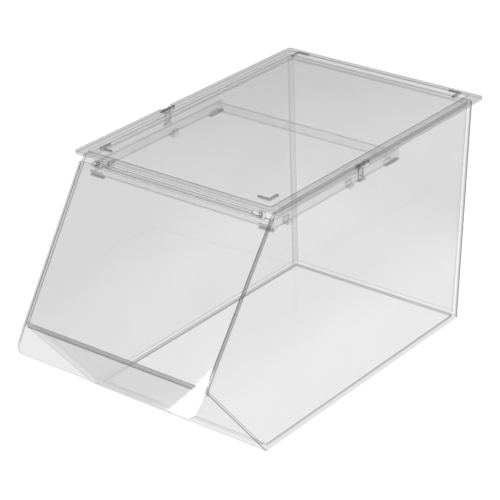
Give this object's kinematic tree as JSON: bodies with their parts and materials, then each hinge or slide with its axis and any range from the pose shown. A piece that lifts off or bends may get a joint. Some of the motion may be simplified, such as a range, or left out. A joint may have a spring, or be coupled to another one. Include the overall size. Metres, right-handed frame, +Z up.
{
  "type": "stackable storage bin",
  "caption": "Clear rigid plastic bin with a slanted lift-up front door, a lift-off cover with stacking ribs, side latches and an inner hinge frame.",
  "frame": {"origin": "on the table under the middle of the bin's overall box", "axes": "+Z up, the door faces -Y, +X is to the right of someone facing the door; the bin is mirror-symmetric in X"},
  "size_m": [0.2, 0.3712, 0.2065],
  "materials": {
    "clear_wall": "clear, glossy",
    "clear_cover": "clear, glossy",
    "clear_door": "clear, glossy",
    "clear_fitting": "clear, glossy",
    "grey_pad": "matte",
    "steel": "satin"
  },
  "bodies": {
    "bin": {"body_shell": "clear_wall", "hinge_rod": "clear_fitting", "inner_frame": "clear_fitting", "rail_bracket_front_left": "clear_fitting", "rail_bracket_front_right": "clear_fitting", "rail_bracket_rear_left": "clear_fitting", "rail_bracket_rear_right": "clear_fitting", "front_pad_left": "grey_pad", "front_pad_right": "grey_pad", "rear_pad_left": "grey_pad", "rear_pad_right": "grey_pad"},
    "cover": {"top_cover": "clear_cover", "latch_pin_left": "steel", "latch_pin_right": "steel"},
    "door": {"front_door": "clear_door"},
    "latch_left": {"side_latch_left": "clear_fitting"},
    "latch_right": {"side_latch_right": "clear_fitting"}
  },
  "joints": [
    {"name": "door_hinge", "type": "hinge", "parent": "bin", "child": "door", "pos_m": [0, -0.09082, 0.19625], "axis": [-1, 0, 0], "range_deg": [0, 58]},
    {"name": "cover_lift", "type": "slide", "parent": "bin", "child": "cover", "axis": [0, 0, 1], "range_m": [0, 0.06]},
    {"name": "latch_left_hinge", "type": "hinge", "parent": "cover", "child": "latch_left", "pos_m": [-0.0972, 0.01518, 0.2027], "axis": [0, 1, 0], "range_deg": [0, 100]},
    {"name": "latch_right_hinge", "type": "hinge", "parent": "cover", "child": "latch_right", "pos_m": [0.0972, 0.01518, 0.2027], "axis": [0, -1, 0], "range_deg": [0, 100]}
  ]
}
